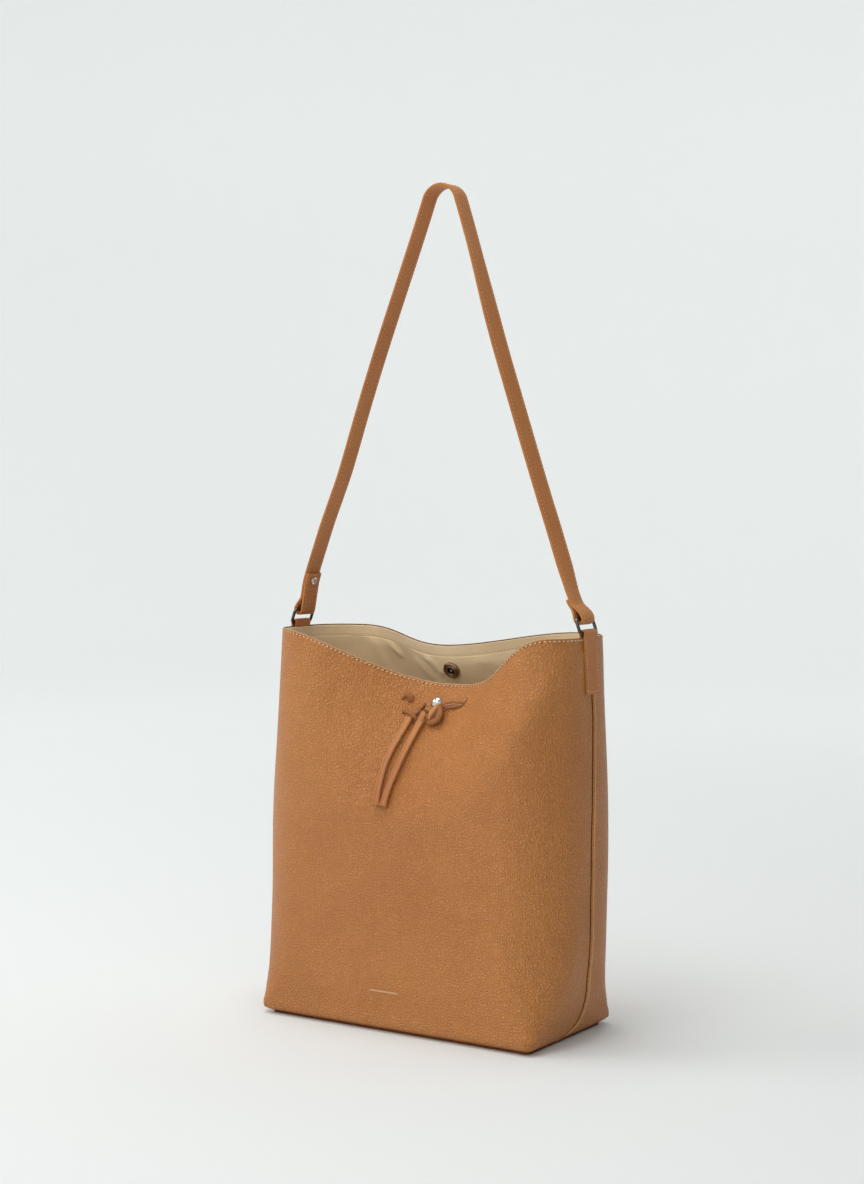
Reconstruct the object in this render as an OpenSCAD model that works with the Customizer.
// Soft leather bucket bag with a carrying strap on two wire rings.
// Millimetres, +Z up. The origin is on the ground, below the middle of the bag.

/* [Body] */
// Height of the rim at the two side seams
side_h = 341.5; // [300:0.5:380]
// Width of the pointed bottom edge
base_w = 276; // [240:1:300]
// Depth of the pointed bottom edge
base_d = 137; // [110:1:150]
// Width of the body at half height
belly_w = 316; // [290:1:330]
// Depth of the body at half height, at its sides
belly_d = 130; // [110:1:140]
// How far the front and the rear swell beyond that depth
bulge = 6; // [0:0.5:9]

/* [Mouth] */
// Width of the mouth between the side seams
mouth_w = 302; // [280:1:310]
// Depth of the mouth before it is pinched
mouth_d = 102; // [90:1:110]
// How far the middle of the mouth stands behind the middle of the base
mouth_back = 6; // [0:0.5:10]
// How far the lace pulls the front lip in
front_pinch = 47; // [0:1:50]
// How far the rear lip folds in
rear_pinch = 36; // [0:1:40]
// How far the front lip dips below the side seams
front_scoop = 45.5; // [20:0.5:60]
// How far the rear lip dips below the side seams
rear_scoop = 13; // [5:0.5:30]

/* [Leather] */
// Thickness of the outer leather
shell_t = 1.5; // [1:0.1:1.6]
// Gap between the leather and the lining
wall_gap = 1.7; // [1.5:0.1:2]
// Thickness of the lining
lining_t = 0.7; // [0.5:0.1:1]
// Depth of the facing strip along the inside of the rim
facing_h = 11; // [8:0.5:20]

/* [Strap] */
// Width of the strap
strap_w = 20; // [16:0.5:21]
// Thickness of one of the strap's two plies
ply_t = 1.2; // [0.8:0.1:1.5]
// Height of the strap's top above the ground
strap_top = 730; // [600:5:760]
// How far the strap's top stands right of the middle
strap_top_x = 7; // [0:1:15]
// How far the left leg bows out from a straight line
left_bow = 2.5; // [-5:0.5:5]
// How far the right leg bows out from a straight line
right_bow = -4; // [-5:0.5:5]
// Radius of the strap's bend at the top, at the middle of its thickness
bend_r = 17; // [12:1:30]
// Length folded back at the left end
fold_left = 35; // [26:0.5:35.5]
// Length folded back at the right end
fold_right = 18.5; // [14:0.5:30]

/* [Hardware] */
// Radius of the rings' wire
wire_r = 1.4; // [1.2:0.1:1.6]
// Distance between the two uprights of a ring
ring_w = 28; // [26:0.5:30]
// Distance between the two bars of a ring
ring_h = 12.5; // [11:0.5:16]
// How far the rings lean in
ring_lean = 20; // [10:1:25]
// Width of the side tabs
tab_w = 22; // [18:0.5:22]
// Length of the side tabs below the rim
tab_h = 48; // [40:1:70]
// Radius of the magnetic snap
snap_r = 8; // [7:0.5:9]
// Radius of the domed rivet on the front
dome_r = 5.4; // [4:0.2:7]

/* [Lace] */
// Width of the lace
lace_w = 5.5; // [4:0.5:6]
// Thickness of the lace, folded along its middle
lace_t = 2.6; // [2:0.2:3]

/* [Hidden] */
$fn = 64;

TAN = [0.72, 0.47, 0.25];
DARK_TAN = [0.55, 0.32, 0.16];
KHAKI = [0.70, 0.60, 0.44];
BOARD = [0.35, 0.30, 0.25];
GUNMETAL = [0.25, 0.24, 0.23];
SILVER = [0.80, 0.80, 0.78];

FRONT = -1;
REAR = 1;
LEFT = -1;
RIGHT = 1;

// ---- Shape of the body ----

base_t = 2;
corner_r = 3;

// Sections from the ground to the rim: share of the height, half width, half depth,
// corner radius, y of the middle, swell of the front and rear.
SECTIONS = [
    [0.000, base_w / 2 - 5, base_d / 2 - 6.5, corner_r, 0, 0],
    [0.012, base_w / 2, base_d / 2, corner_r, 0, 0],
    [0.050, base_w / 2 + 4, base_d / 2 + 0.5, 16, 0, 0],
    [0.120, base_w / 2 + 11, base_d / 2 - 1, 37, 0, bulge / 2],
    [0.250, belly_w / 2 - 2, belly_d / 2 + 1, 51, mouth_back / 6, bulge * 0.8],
    [0.500, belly_w / 2, belly_d / 2, 54, mouth_back / 2, bulge],
    [0.780, belly_w / 2 - 3, belly_d / 2 - 5, 50, mouth_back * 0.8, bulge * 0.7],
    [1.000, mouth_w / 2, mouth_d / 2, 37, mouth_back, 0]
];

// How far the side seam stands behind the section's middle, by share of the height
SEAM = [
    [0, -20], [0.013, -12], [0.025, 0], [0.04, 7], [0.065, 10], [0.1, 9], [0.16, 4],
    [0.25, 0], [0.35, -3], [0.5, -4], [0.8, 2], [1, 0]
];

// A lip: how deep it is pinched, the x of the pinch, its reach and shape left and right,
// how far it dips, the x of the dip, its reach and shape left and right,
// and the share of the height where the wall starts to lean in.
FRONT_LIP = [front_pinch, 12, 120, 1, 108, 1.15, front_scoop, 12, 150, 1, 125, 1.5, 0.52];
REAR_LIP = [rear_pinch, 0, 112, 1, 112, 1, rear_scoop, -5, 110, 1, 120, 1, 0.55];

function section_below(t, i = 0) =
    i >= len(SECTIONS) - 2 || t < SECTIONS[i + 1][0] ? i : section_below(t, i + 1);

function slope_at(i, k) =
    let (a = max(i - 1, 0), b = min(i + 1, len(SECTIONS) - 1))
    (SECTIONS[b][k] - SECTIONS[a][k]) / (SECTIONS[b][0] - SECTIONS[a][0]);

// Smooth curve through column k of the sections
function section_value(t, k) =
    let (i = section_below(t), h = SECTIONS[i + 1][0] - SECTIONS[i][0], q = (t - SECTIONS[i][0]) / h)
    (2 * q ^ 3 - 3 * q ^ 2 + 1) * SECTIONS[i][k] + (q ^ 3 - 2 * q ^ 2 + q) * h * slope_at(i, k)
    + (3 * q ^ 2 - 2 * q ^ 3) * SECTIONS[i + 1][k] + (q ^ 3 - q ^ 2) * h * slope_at(i + 1, k);

function smooth_step(q) = let (c = max(0, min(1, q))) c * c * (3 - 2 * c);

// Bell that is 1 at x = middle and falls to 0 at its reach on either side
function bell(x, middle, reach_l, shape_l, reach_r, shape_r) =
    let (d = x - middle, q = d < 0 ? min(1, -d / reach_l) ^ shape_l : min(1, d / reach_r) ^ shape_r)
    cos(90 * q) ^ 2;

// Point on a rounded rectangle's half, from the middle of its long side (w = 0) to past the
// middle of its short side (w = 1): [x, y away from the middle]
function outline_point(w, a, b, r, past) =
    let (flat = a - r, arc = PI * r / 2, l = abs(w) * (flat + arc + b - r + past))
    l < flat ? [sign(w) * l, b]
    : l < flat + arc ? let (an = (l - flat) / r * 180 / PI) [sign(w) * (flat + r * sin(an)), b - r + r * cos(an)]
    : [sign(w) * a, b - r - (l - flat - arc)];

// Point of a wall: side is FRONT or REAR, w runs from -1 at the left seam to 1 at the right
// seam, t from 0 at the bottom to 1 at the rim, and inset is measured in from the outer face.
function wall_point(side, w, t, inset = 0) =
    let (
        lip = side == FRONT ? FRONT_LIP : REAR_LIP,
        a = section_value(t, 1) - inset,
        b = section_value(t, 2) - inset,
        r = max(section_value(t, 3) - inset, 1),
        p = outline_point(w, a, b, r, -side * lookup(t, SEAM)),
        swell = section_value(t, 5) * cos(90 * min(1, abs(p.x) / a)) * p.y / b,
        start = lip[12] + 0.9 * (0.98 - lip[12]) * abs(w) ^ 2.2,
        lean = 2 * smooth_step(max(0, (t - start) / (1 - start)) / 2),
        pinch = lip[0] * bell(p.x, lip[1], lip[2], lip[3], lip[4], lip[5])
            * lean * max(0, min(1, (p.y + swell) / (0.6 * b))),
        dip = lip[6] * bell(p.x, lip[7], lip[8], lip[9], lip[10], lip[11]) * smooth_step((t - 0.35) / 0.65)
    )
    [p.x, section_value(t, 4) + side * (p.y + swell - pinch), base_t + (side_h - base_t) * t - dip];

// Outward unit normal of a wall
function wall_normal(side, w, t) =
    let (
        e = 0.001,
        across = wall_point(side, w + e, t) - wall_point(side, w - e, t),
        up = wall_point(side, w, t + e) - wall_point(side, w, t - e),
        n = cross(across, up)
    )
    (side == FRONT ? 1 : -1) * n / norm(n);

// Puts children in a wall at place [w, t], with their +Z along the outward normal and their
// +Y level. The inset is measured level, so it is shorter along the normal.
module on_wall(side, place, inset = 0) {
    n = wall_normal(side, place[0], place[1]);
    translate(wall_point(side, place[0], place[1]))
        rotate([0, acos(n.z), atan2(n.y, n.x)])
            translate([0, 0, -inset * norm([n.x, n.y])])
                children();
}

function reversed(f) = [for (i = [len(f) - 1:-1:0]) f[i]];

// Closed sheet between two insets of a wall, over the given shares across and up
module wall_sheet(side, ws, ts, outer, inner) {
    nw = len(ws);
    nt = len(ts);
    n = nw * nt;
    points = [
        for (inset = [outer, inner])
            for (t = ts)
                for (w = ws)
                    wall_point(side, w, t, inset)
    ];
    // Two triangles for the corners a, b, c, d, clockwise as seen from outside
    function quad(a, b, c, d) = [[a, b, c], [a, c, d]];
    out = [
        for (i = [0:nt - 2])
            for (j = [0:nw - 2])
                let (k = i * nw + j)
                for (f = quad(k, k + nw, k + nw + 1, k + 1)) f
    ];
    in = [for (f = out) [for (k = reversed(f)) k + n]];
    bottom = [for (j = [0:nw - 2]) for (f = quad(j, j + 1, j + 1 + n, j + n)) f];
    top = [
        for (j = [0:nw - 2])
            let (k = (nt - 1) * nw + j)
            for (f = quad(k + 1, k, k + n, k + 1 + n)) f
    ];
    left = [
        for (i = [0:nt - 2])
            let (k = i * nw)
            for (f = quad(k + nw, k, k + n, k + nw + n)) f
    ];
    right = [
        for (i = [0:nt - 2])
            let (k = i * nw + nw - 1)
            for (f = quad(k, k + nw, k + nw + n, k + n)) f
    ];
    faces = concat(out, in, bottom, top, left, right);
    polyhedron(points, side == FRONT ? faces : [for (f = faces) reversed(f)]);
}

HALF_ACROSS = [0.05, 0.1, 0.2, 0.3, 0.4, 0.5, 0.58, 0.65, 0.685, 0.75, 0.83, 0.92, 1];
facing_from = 1 - facing_h / side_h;
ACROSS = concat(-1 * reversed(HALF_ACROSS), [0], HALF_ACROSS);
UP = [0, 0.012, 0.05, 0.085, 0.12, 0.18, 0.25, 0.34, 0.43, 0.52, 0.6, 0.68, 0.76, 0.84, 0.9, 0.94, facing_from, 1];

lining_in = shell_t + wall_gap;

// ---- Places of the snap, the rivet and the lace on the walls ----

// Share across and share up of each
SNAP_REAR = [0, 0.937];
RIVET = [0.043, 0.951];
// Lace slots: top left, bottom left, middle, right
SLOTS = [[-0.091, 0.944], [-0.075, 0.904], [-0.012, 0.936], [0.213, 0.957]];

slot_w = lace_w + 0.8;
slot_h = 2;
post_r = 2;
post_hole_r = 2.2;

module lace_slots() {
    for (s = SLOTS)
        on_wall(FRONT, s, shell_t / 2)
            cube([slot_h, slot_w, 3 * shell_t], center = true);
}

module lining_hole(side, place) {
    on_wall(side, place, lining_in) cylinder(r = post_hole_r, h = 6 * lining_t, center = true);
}

// ---- Shell, lining and base ----

module front_panel() {
    color(TAN)
        difference() {
            wall_sheet(FRONT, ACROSS, UP, 0, shell_t);
            lace_slots();
            on_wall(FRONT, RIVET, shell_t / 2) cylinder(r = post_hole_r, h = 2 * shell_t, center = true);
        }
}

module rear_panel() {
    color(TAN) wall_sheet(REAR, ACROSS, UP, 0, shell_t);
}

module rounded_plate(w, d, r, t) {
    translate([-w / 2 + r, -d / 2, 0]) cube([w - 2 * r, d, t]);
    translate([-w / 2, -d / 2 + r, 0]) cube([w, d - 2 * r, t]);
    for (x = [-1, 1])
        for (y = [-1, 1])
            translate([x * (w / 2 - r), y * (d / 2 - r), 0]) cylinder(r = r, h = t);
}

board_t = 2.5;
board_in = shell_t + 1.5;
board_corner_r = 12;

module base_panel() {
    color(TAN) rounded_plate(base_w - 10, base_d - 13, corner_r + 3, base_t);
}

module base_board() {
    color(BOARD)
        translate([0, 0, base_t + 0.1])
            rounded_plate(base_w - 10 - 2 * board_in, base_d - 13 - 2 * board_in, board_corner_r, board_t);
}

module base_lining() {
    color(KHAKI)
        translate([0, 0, base_t + board_t + 0.3])
            rounded_plate(base_w - 13, base_d - 15, corner_r, lining_t);
}

LINING_UP = concat([0.014], [for (i = [2:len(UP) - 2]) UP[i]]);

module front_lining() {
    color(KHAKI)
        difference() {
            wall_sheet(FRONT, ACROSS, LINING_UP, lining_in, lining_in + lining_t);
            lining_hole(FRONT, RIVET);
        }
}

module rear_lining() {
    color(KHAKI)
        difference() {
            wall_sheet(REAR, ACROSS, LINING_UP, lining_in, lining_in + lining_t);
            lining_hole(REAR, SNAP_REAR);
        }
}

module facing(side) {
    color(KHAKI)
        wall_sheet(side, ACROSS, [facing_from + 0.001, 1], lining_in, lining_in + lining_t);
}

module front_facing() { facing(FRONT); }

module rear_facing() { facing(REAR); }

STAY_ACROSS = [for (i = [1:len(ACROSS) - 2]) ACROSS[i]];
stay_gap = 0.15;

module rim_stay(side) {
    color(BOARD) wall_sheet(side, STAY_ACROSS, [facing_from, 1], shell_t + stay_gap, lining_in - stay_gap);
}

module front_rim_stay() { rim_stay(FRONT); }

module rear_rim_stay() { rim_stay(REAR); }

// ---- Side tabs and rings ----

loop_gap = 0.3;
tab_t = 1.4;
tab_loop_r = wire_r + loop_gap;
tab_out = 0.35;
tab_in = shell_t + 0.15;
bar_x = mouth_w / 2 + (tab_out - tab_in) / 2;
bar_z = side_h + tab_loop_r + tab_t + 0.3;
inner_ply_h = 24;
low_t = 1 - tab_h / side_h;
tab_lean = atan((section_value(low_t, 1) - mouth_w / 2) / tab_h);

// One leather strip: sewn outside, round the ring's bar, and in behind the outer leather
module tab(side) {
    ply_top = bar_z - tab_loop_r + loop_gap - side_h;
    color(DARK_TAN)
        mirror([side == LEFT ? 1 : 0, 0, 0]) {
            translate([bar_x, mouth_back + tab_w / 2, bar_z])
                rotate([90, 0, 0])
                    difference() {
                        cylinder(r = tab_loop_r + tab_t, h = tab_w);
                        translate([0, 0, -1]) cylinder(r = tab_loop_r, h = tab_w + 2);
                    }
            translate([mouth_w / 2 + tab_out, mouth_back - tab_w / 2, side_h])
                rotate([0, -tab_lean, 0])
                    translate([0, 0, -tab_h]) cube([tab_t, tab_w, tab_h + ply_top]);
            translate([mouth_w / 2 - tab_in - tab_t, mouth_back - tab_w / 2, side_h])
                rotate([0, -tab_lean, 0])
                    translate([0, 0, -inner_ply_h]) cube([tab_t, tab_w, inner_ply_h + ply_top]);
        }
}

module left_tab() { tab(LEFT); }

module right_tab() { tab(RIGHT); }

ring_corner_r = 2.8;

// Rectangular wire ring: its lower bar on the X axis of this frame, its upper bar above it
module ring_wire() {
    half = ring_w / 2 - ring_corner_r;
    for (z = [0, ring_h])
        translate([0, half, z]) rotate([90, 0, 0]) cylinder(r = wire_r, h = 2 * half);
    for (y = [-1, 1])
        translate([0, y * ring_w / 2, ring_corner_r]) cylinder(r = wire_r, h = ring_h - 2 * ring_corner_r);
    for (y = [-1, 1])
        for (z = [-1, 1])
            translate([0, y * half, ring_h / 2 + z * (ring_h / 2 - ring_corner_r)])
                rotate([0, 90, 0])
                    rotate([0, 0, y > 0 ? (z > 0 ? 90 : 0) : (z > 0 ? 180 : 270)])
                        rotate_extrude(angle = 90) translate([ring_corner_r, 0]) circle(r = wire_r);
}

module ring(side) {
    color(GUNMETAL)
        translate([side * bar_x, mouth_back, bar_z])
            rotate([0, -side * ring_lean, 0])
                ring_wire();
}

module ring_left() { ring(LEFT); }

module ring_right() { ring(RIGHT); }

// ---- Strap ----

foot_x = bar_x - ring_h * sin(ring_lean);
foot_z = bar_z + ring_h * cos(ring_lean);
bend_z = strap_top - ply_t - bend_r;

// From a foot to the middle of the bend at the top
function to_bend(side) = [strap_top_x - side * foot_x, bend_z - foot_z];
// Angle of a leg from the vertical, and its length up to the bend
function leg_angle(side) =
    let (d = to_bend(side)) -side * atan2(d.x, d.y) - asin(bend_r / norm(d));
function leg_length(side) = sqrt(norm(to_bend(side)) ^ 2 - bend_r ^ 2);

// Frame of a leg: origin on the ring's upper bar, +Z up the leg, +X away from the bag
module on_leg(side) {
    translate([side * foot_x, mouth_back, foot_z])
        rotate([0, -side * leg_angle(side), 0])
            mirror([side == LEFT ? 1 : 0, 0, 0])
                children();
}

// Where the strap bends when it is laid down: the stiff sewn ends stop below it
flex_from = 36;
flex_to = 67;
flex_gap = 0.2;

LEG_STEPS = 8;
BEND_STEPS = 14;

// Point [x, z] of a leg, a length up from the foot and an offset out from the strap's middle
function leg_point(side, up, out) =
    let (
        an = leg_angle(side),
        q = (up - flex_to) / (leg_length(side) - flex_to),
        off = out + (side == LEFT ? left_bow : right_bow) * sin(180 * q) ^ 2
    )
    [side * (foot_x - up * sin(an) + off * cos(an)), foot_z + up * cos(an) + off * sin(an)];

// Points of a leg from the flexing stretch up to the bend
function leg_line(side, out) = [
    for (k = [0:LEG_STEPS]) leg_point(side, flex_to + (leg_length(side) - flex_to) * k / LEG_STEPS, out)
];

// Points over the bend from the left leg to the right one
function bend_line(out) =
    let (from = 180 - leg_angle(LEFT), to = leg_angle(RIGHT))
    [
        for (k = [1:BEND_STEPS - 1])
            let (an = from + (to - from) * k / BEND_STEPS)
            [strap_top_x + (bend_r + out) * cos(an), bend_z + (bend_r + out) * sin(an)]
    ];

function strap_line(out) = concat(leg_line(LEFT, out), bend_line(out), reversed(leg_line(RIGHT, out)));

// Ply between two offsets from the middle of the strap's thickness, positive outward
module strap_ply(from, to) {
    translate([0, mouth_back + strap_w / 2, 0])
        rotate([90, 0, 0])
            linear_extrude(strap_w) polygon(concat(strap_line(to), reversed(strap_line(from))));
}

module strap_outer_ply() {
    color(DARK_TAN) strap_ply(0, ply_t);
}

module strap_inner_ply() {
    color(DARK_TAN) strap_ply(-ply_t, 0);
}

strap_loop_r = wire_r + 1.2;
fold_t = 2 * ply_t;
screw_up = 28;

// Strap's end: folded round the ring's upper bar and sewn to itself on the inside
module strap_end(side, fold) {
    color(DARK_TAN)
        on_leg(side)
            difference() {
                union() {
                    translate([0, strap_w / 2, 0])
                        rotate([90, 0, 0]) cylinder(r = strap_loop_r + fold_t, h = strap_w);
                    translate([-ply_t, -strap_w / 2, 0]) cube([2 * ply_t, strap_w, flex_from]);
                    translate([-ply_t - fold_t, -strap_w / 2, 0]) cube([fold_t, strap_w, fold]);
                }
                translate([0, strap_w / 2 + 1, 0])
                    rotate([90, 0, 0]) cylinder(r = strap_loop_r, h = strap_w + 2);
                if (side == LEFT)
                    translate([0, 0, screw_up])
                        rotate([0, 90, 0]) cylinder(r = post_hole_r, h = 20, center = true);
            }
}

module strap_end_left() { strap_end(LEFT, fold_left); }

module strap_end_right() { strap_end(RIGHT, fold_right); }

screw_head_r = 3.6;
screw_head_t = 1.2;

// Post with the wide head on the inner side of the strap
module strap_screw_post() {
    color(SILVER)
        on_leg(LEFT)
            translate([-ply_t - fold_t, 0, screw_up])
                rotate([0, 90, 0]) {
                    translate([0, 0, -screw_head_t])
                        difference() {
                            cylinder(r = screw_head_r, h = screw_head_t);
                            translate([0, 0, -1]) cylinder(r = 1, h = 1.6);
                        }
                    cylinder(r = post_r, h = 2 * ply_t + fold_t);
                }
}

module strap_screw_cap() {
    color(SILVER)
        on_leg(LEFT)
            translate([ply_t, 0, screw_up])
                rotate([0, 90, 0]) cylinder(r = screw_head_r, h = screw_head_t);
}

module strap_flex(side) {
    color(DARK_TAN)
        on_leg(side)
            translate([-ply_t, -strap_w / 2, flex_from])
                cube([2 * ply_t, strap_w, flex_to - flex_from - flex_gap]);
}

module strap_flex_left() { strap_flex(LEFT); }

module strap_flex_right() { strap_flex(RIGHT); }

// ---- Magnetic snap and rivet ----

socket_t = 3.2;
magnet_r = 5;
magnet_t = 1.8;
plug_t = 1.2;
nub_t = 2;
washer_r = 4;
washer_t = 0.5;
snap_lift = 0.4;
stud_t = lining_t + snap_lift + 0.8;

// Puts children on a wall's lining, facing the inside of the bag
module on_lining(side, place) {
    on_wall(side, place, lining_in + lining_t)
        translate([0, 0, -snap_lift]) mirror([0, 0, 1]) children();
}

// Stud through the lining, away from the inside of the bag
module stud() {
    mirror([0, 0, 1]) cylinder(r = post_r, h = stud_t);
}

module snap_socket() {
    color(GUNMETAL)
        on_lining(REAR, SNAP_REAR) {
            difference() {
                cylinder(r = snap_r, h = socket_t);
                translate([0, 0, 0.8]) cylinder(r = magnet_r + 0.1, h = magnet_t + 0.1);
                translate([0, 0, 0.8]) cylinder(r = 1.6, h = socket_t);
            }
            stud();
        }
}

// Ring magnet inside the socket
module snap_magnet() {
    color(BOARD)
        on_lining(REAR, SNAP_REAR)
            translate([0, 0, 0.85])
                difference() {
                    cylinder(r = magnet_r, h = magnet_t);
                    translate([0, 0, -1]) cylinder(r = 1.7, h = magnet_t + 2);
                }
}

module snap_plug() {
    color(GUNMETAL)
        on_lining(FRONT, RIVET) {
            cylinder(r = snap_r, h = plug_t);
            cylinder(r = 1.5, h = nub_t);
            stud();
        }
}

// Backing washer between the lining and the leather
module washer(side, place) {
    color(SILVER)
        on_wall(side, place, (shell_t + lining_in) / 2)
            translate([0, 0, -washer_t / 2])
                difference() {
                    cylinder(r = washer_r, h = washer_t);
                    translate([0, 0, -1]) cylinder(r = post_hole_r, h = washer_t + 2);
                }
}

module snap_socket_washer() { washer(REAR, SNAP_REAR); }

module snap_plug_washer() { washer(FRONT, RIVET); }

dome_h = 2.6;
dome_lift = 0.4;

// Domed cap outside, with its post through the leather
module front_rivet() {
    ball_r = (dome_r ^ 2 + dome_h ^ 2) / (2 * dome_h);
    color(SILVER)
        on_wall(FRONT, RIVET)
            translate([0, 0, dome_lift]) {
                intersection() {
                    translate([0, 0, dome_h - ball_r]) sphere(r = ball_r);
                    cylinder(r = dome_r + 1, h = dome_h + 1);
                }
                mirror([0, 0, 1]) cylinder(r = post_r, h = dome_lift + shell_t + 0.2);
            }
}

// ---- Lace ----

function unit(v) = v / norm(v);

LACE_SIDES = 8;

// Flat cord swept along a route, as one polyhedron. Its flat side faces the given direction.
module lace(path, facing) {
    last = len(path) - 1;
    rings = [
        for (i = [0:last])
            let (
                along = unit(path[min(i + 1, last)] - path[max(i - 1, 0)]),
                across = unit(cross(along, facing)),
                out = cross(across, along)
            )
            for (k = [0:LACE_SIDES - 1])
                let (an = 360 * (k + 0.5) / LACE_SIDES)
                path[i] + across * lace_w / 2 * cos(an) + out * lace_t / 2 * sin(an)
    ];
    faces = concat(
        [reversed([for (k = [0:LACE_SIDES - 1]) k])],
        [
            for (i = [0:last - 1])
                for (k = [0:LACE_SIDES - 1])
                    let (a = i * LACE_SIDES + k, b = i * LACE_SIDES + (k + 1) % LACE_SIDES)
                    for (f = [[a, b, b + LACE_SIDES], [a, b + LACE_SIDES, a + LACE_SIDES]]) f
        ],
        [[for (k = [0:LACE_SIDES - 1]) last * LACE_SIDES + k]]
    );
    polyhedron(rings, [for (f = faces) reversed(f)]);
}

// Direction that the lace's flat side faces on the leaning front
LACE_OUT = [0.05, -0.82, 0.57];

KNOT_AT = [10.5, -22.2, 269.5];
TAIL_LEFT = [
    [-9.5, -25.5, 267], [-12, -34.5, 255], [-15, -44, 242], [-17, -52, 229],
    [-17, -59.5, 215], [-16.5, -65, 202], [-16, -67, 195]
];
TAIL_RIGHT = [
    [2.5, -23.5, 267], [0, -32, 255], [-2.5, -44, 239], [-5, -54, 223],
    [-7.5, -61, 209], [-9, -67, 195]
];
RIGHT_LOOP = [[16, -17, 276.5], [20, -15.5, 279], [27, -15, 280.5], [34, -16.5, 281.5], [39, -17, 283]];
LEFT_STRAND = [[-13.5, -24.5, 272], [-8, -23, 274], [-2, -22, 273.5], [3, -22, 272]];
END_LOOP = [[-17.5, -17.5, 285], [-17.5, -19, 282.5], [-17, -19.5, 280]];

module lace_knot() {
    color(DARK_TAN)
        translate(KNOT_AT)
            rotate([55, 0, 0])
                for (turn = [0, 70])
                    rotate([0, turn, 0])
                        rotate_extrude() translate([2.9, 0]) circle(r = 1.7, $fn = 32);
}

module lace_right_loop() {
    color(DARK_TAN) lace(RIGHT_LOOP, LACE_OUT);
}

module lace_left_strand() {
    color(DARK_TAN) lace(LEFT_STRAND, LACE_OUT);
}

module lace_end_loop() {
    color(DARK_TAN) lace(END_LOOP, LACE_OUT);
}

module lace_tail_left() {
    color(DARK_TAN) lace(TAIL_LEFT, [0.15, -0.85, 0.5]);
}

module lace_tail_right() {
    color(DARK_TAN) lace(TAIL_RIGHT, [0.1, -0.85, 0.5]);
}

front_panel();
rear_panel();
base_panel();
base_board();
base_lining();
front_lining();
rear_lining();
front_facing();
rear_facing();
front_rim_stay();
rear_rim_stay();
left_tab();
right_tab();
snap_socket();
snap_magnet();
snap_plug();
snap_socket_washer();
snap_plug_washer();
front_rivet();
lace_knot();
lace_right_loop();
lace_left_strand();
lace_end_loop();
lace_tail_left();
lace_tail_right();
ring_left();
ring_right();
strap_end_left();
strap_end_right();
strap_screw_post();
strap_screw_cap();
strap_outer_ply();
strap_inner_ply();
strap_flex_left();
strap_flex_right();
